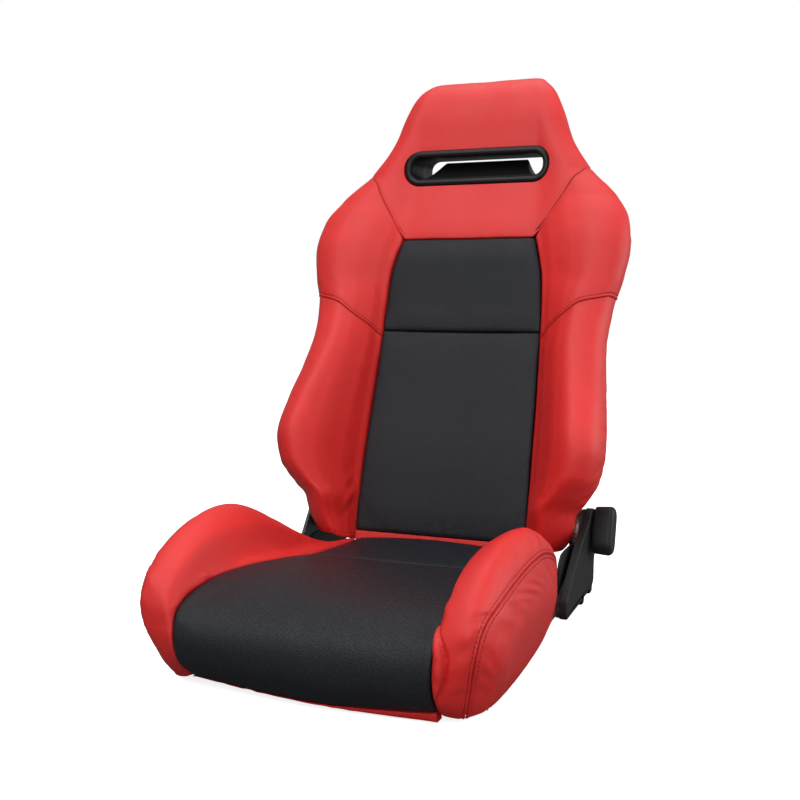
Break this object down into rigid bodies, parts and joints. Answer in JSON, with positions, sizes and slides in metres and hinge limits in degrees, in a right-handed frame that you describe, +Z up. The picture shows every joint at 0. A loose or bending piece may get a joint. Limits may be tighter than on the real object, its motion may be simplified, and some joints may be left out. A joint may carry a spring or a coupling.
{
  "type": "racing seat",
  "caption": "Reclining bucket seat with red bolsters, black centre panels, an integral head section with a harness slot, and a knob-turned recliner on a steel base.",
  "frame": {"origin": "bottom centre of the whole seat, on the plane that the base side members stand on", "axes": "+Z up, the sitter faces -Y, +X is the sitter's left, where the recline knob is"},
  "size_m": [0.5676, 0.8236, 0.8917],
  "materials": {
    "red_leather": "fine-grained coated leather",
    "black_leather": "fine-grained coated leather",
    "moulded_plastic": "fine moulded texture",
    "painted_steel": "satin black coating",
    "plated_steel": "zinc plated"
  },
  "bodies": {
    "base": {"base_front_tube": "painted_steel", "base_rear_tube": "painted_steel", "base_side_member_left": "painted_steel", "base_side_member_right": "painted_steel", "bracket_bolt_left_1": "plated_steel", "bracket_bolt_left_2": "plated_steel", "bracket_bolt_right_1": "plated_steel", "bracket_bolt_right_2": "plated_steel", "bracket_spacer_left_1": "plated_steel", "bracket_spacer_left_2": "plated_steel", "bracket_spacer_right_1": "plated_steel", "bracket_spacer_right_2": "plated_steel", "cushion_bolster_left": "red_leather", "cushion_bolster_right": "red_leather", "cushion_centre_pad": "black_leather", "cushion_front_hem": "red_leather", "cushion_rear_strip": "black_leather", "cushion_side_panel_left": "red_leather", "cushion_side_panel_right": "red_leather", "recliner_bracket_left": "painted_steel", "recliner_bracket_right": "painted_steel", "recliner_cover": "moulded_plastic", "recliner_gear_left": "plated_steel", "recliner_gear_right": "plated_steel", "seat_pan": "painted_steel"},
    "backrest": {"back_arm_left": "painted_steel", "back_arm_right": "painted_steel", "back_bolster_left": "red_leather", "back_bolster_right": "red_leather", "back_cross_tube": "painted_steel", "back_frame_hoop": "painted_steel", "back_gusset_left": "red_leather", "back_gusset_right": "red_leather", "back_hem": "red_leather", "back_pad_lower": "black_leather", "back_pad_upper": "black_leather", "back_spring_1": "plated_steel", "back_spring_2": "plated_steel", "back_spring_3": "plated_steel", "head_panel": "red_leather", "rear_panel": "black_leather", "shoulder_wing_left": "red_leather", "shoulder_wing_right": "red_leather", "slot_bezel": "moulded_plastic", "slot_bezel_rear": "moulded_plastic", "slot_strap_guide": "moulded_plastic"},
    "knob": {"recline_knob": "moulded_plastic", "recline_shaft": "painted_steel"}
  },
  "joints": [
    {"name": "backrest_recline", "type": "hinge", "parent": "base", "child": "backrest", "pos_m": [0, 0.139, 0.14], "axis": [-1, 0, 0], "range_deg": [-15, 50]},
    {"name": "recline_knob_turn", "type": "hinge", "parent": "base", "child": "knob", "pos_m": [0.2513, 0.139, 0.14], "axis": [-1, 0, 0], "range_deg": [-510, 1700]}
  ],
  "couplings": [
    {"joint": "recline_knob_turn", "follows": "backrest_recline", "ratio": 34}
  ]
}
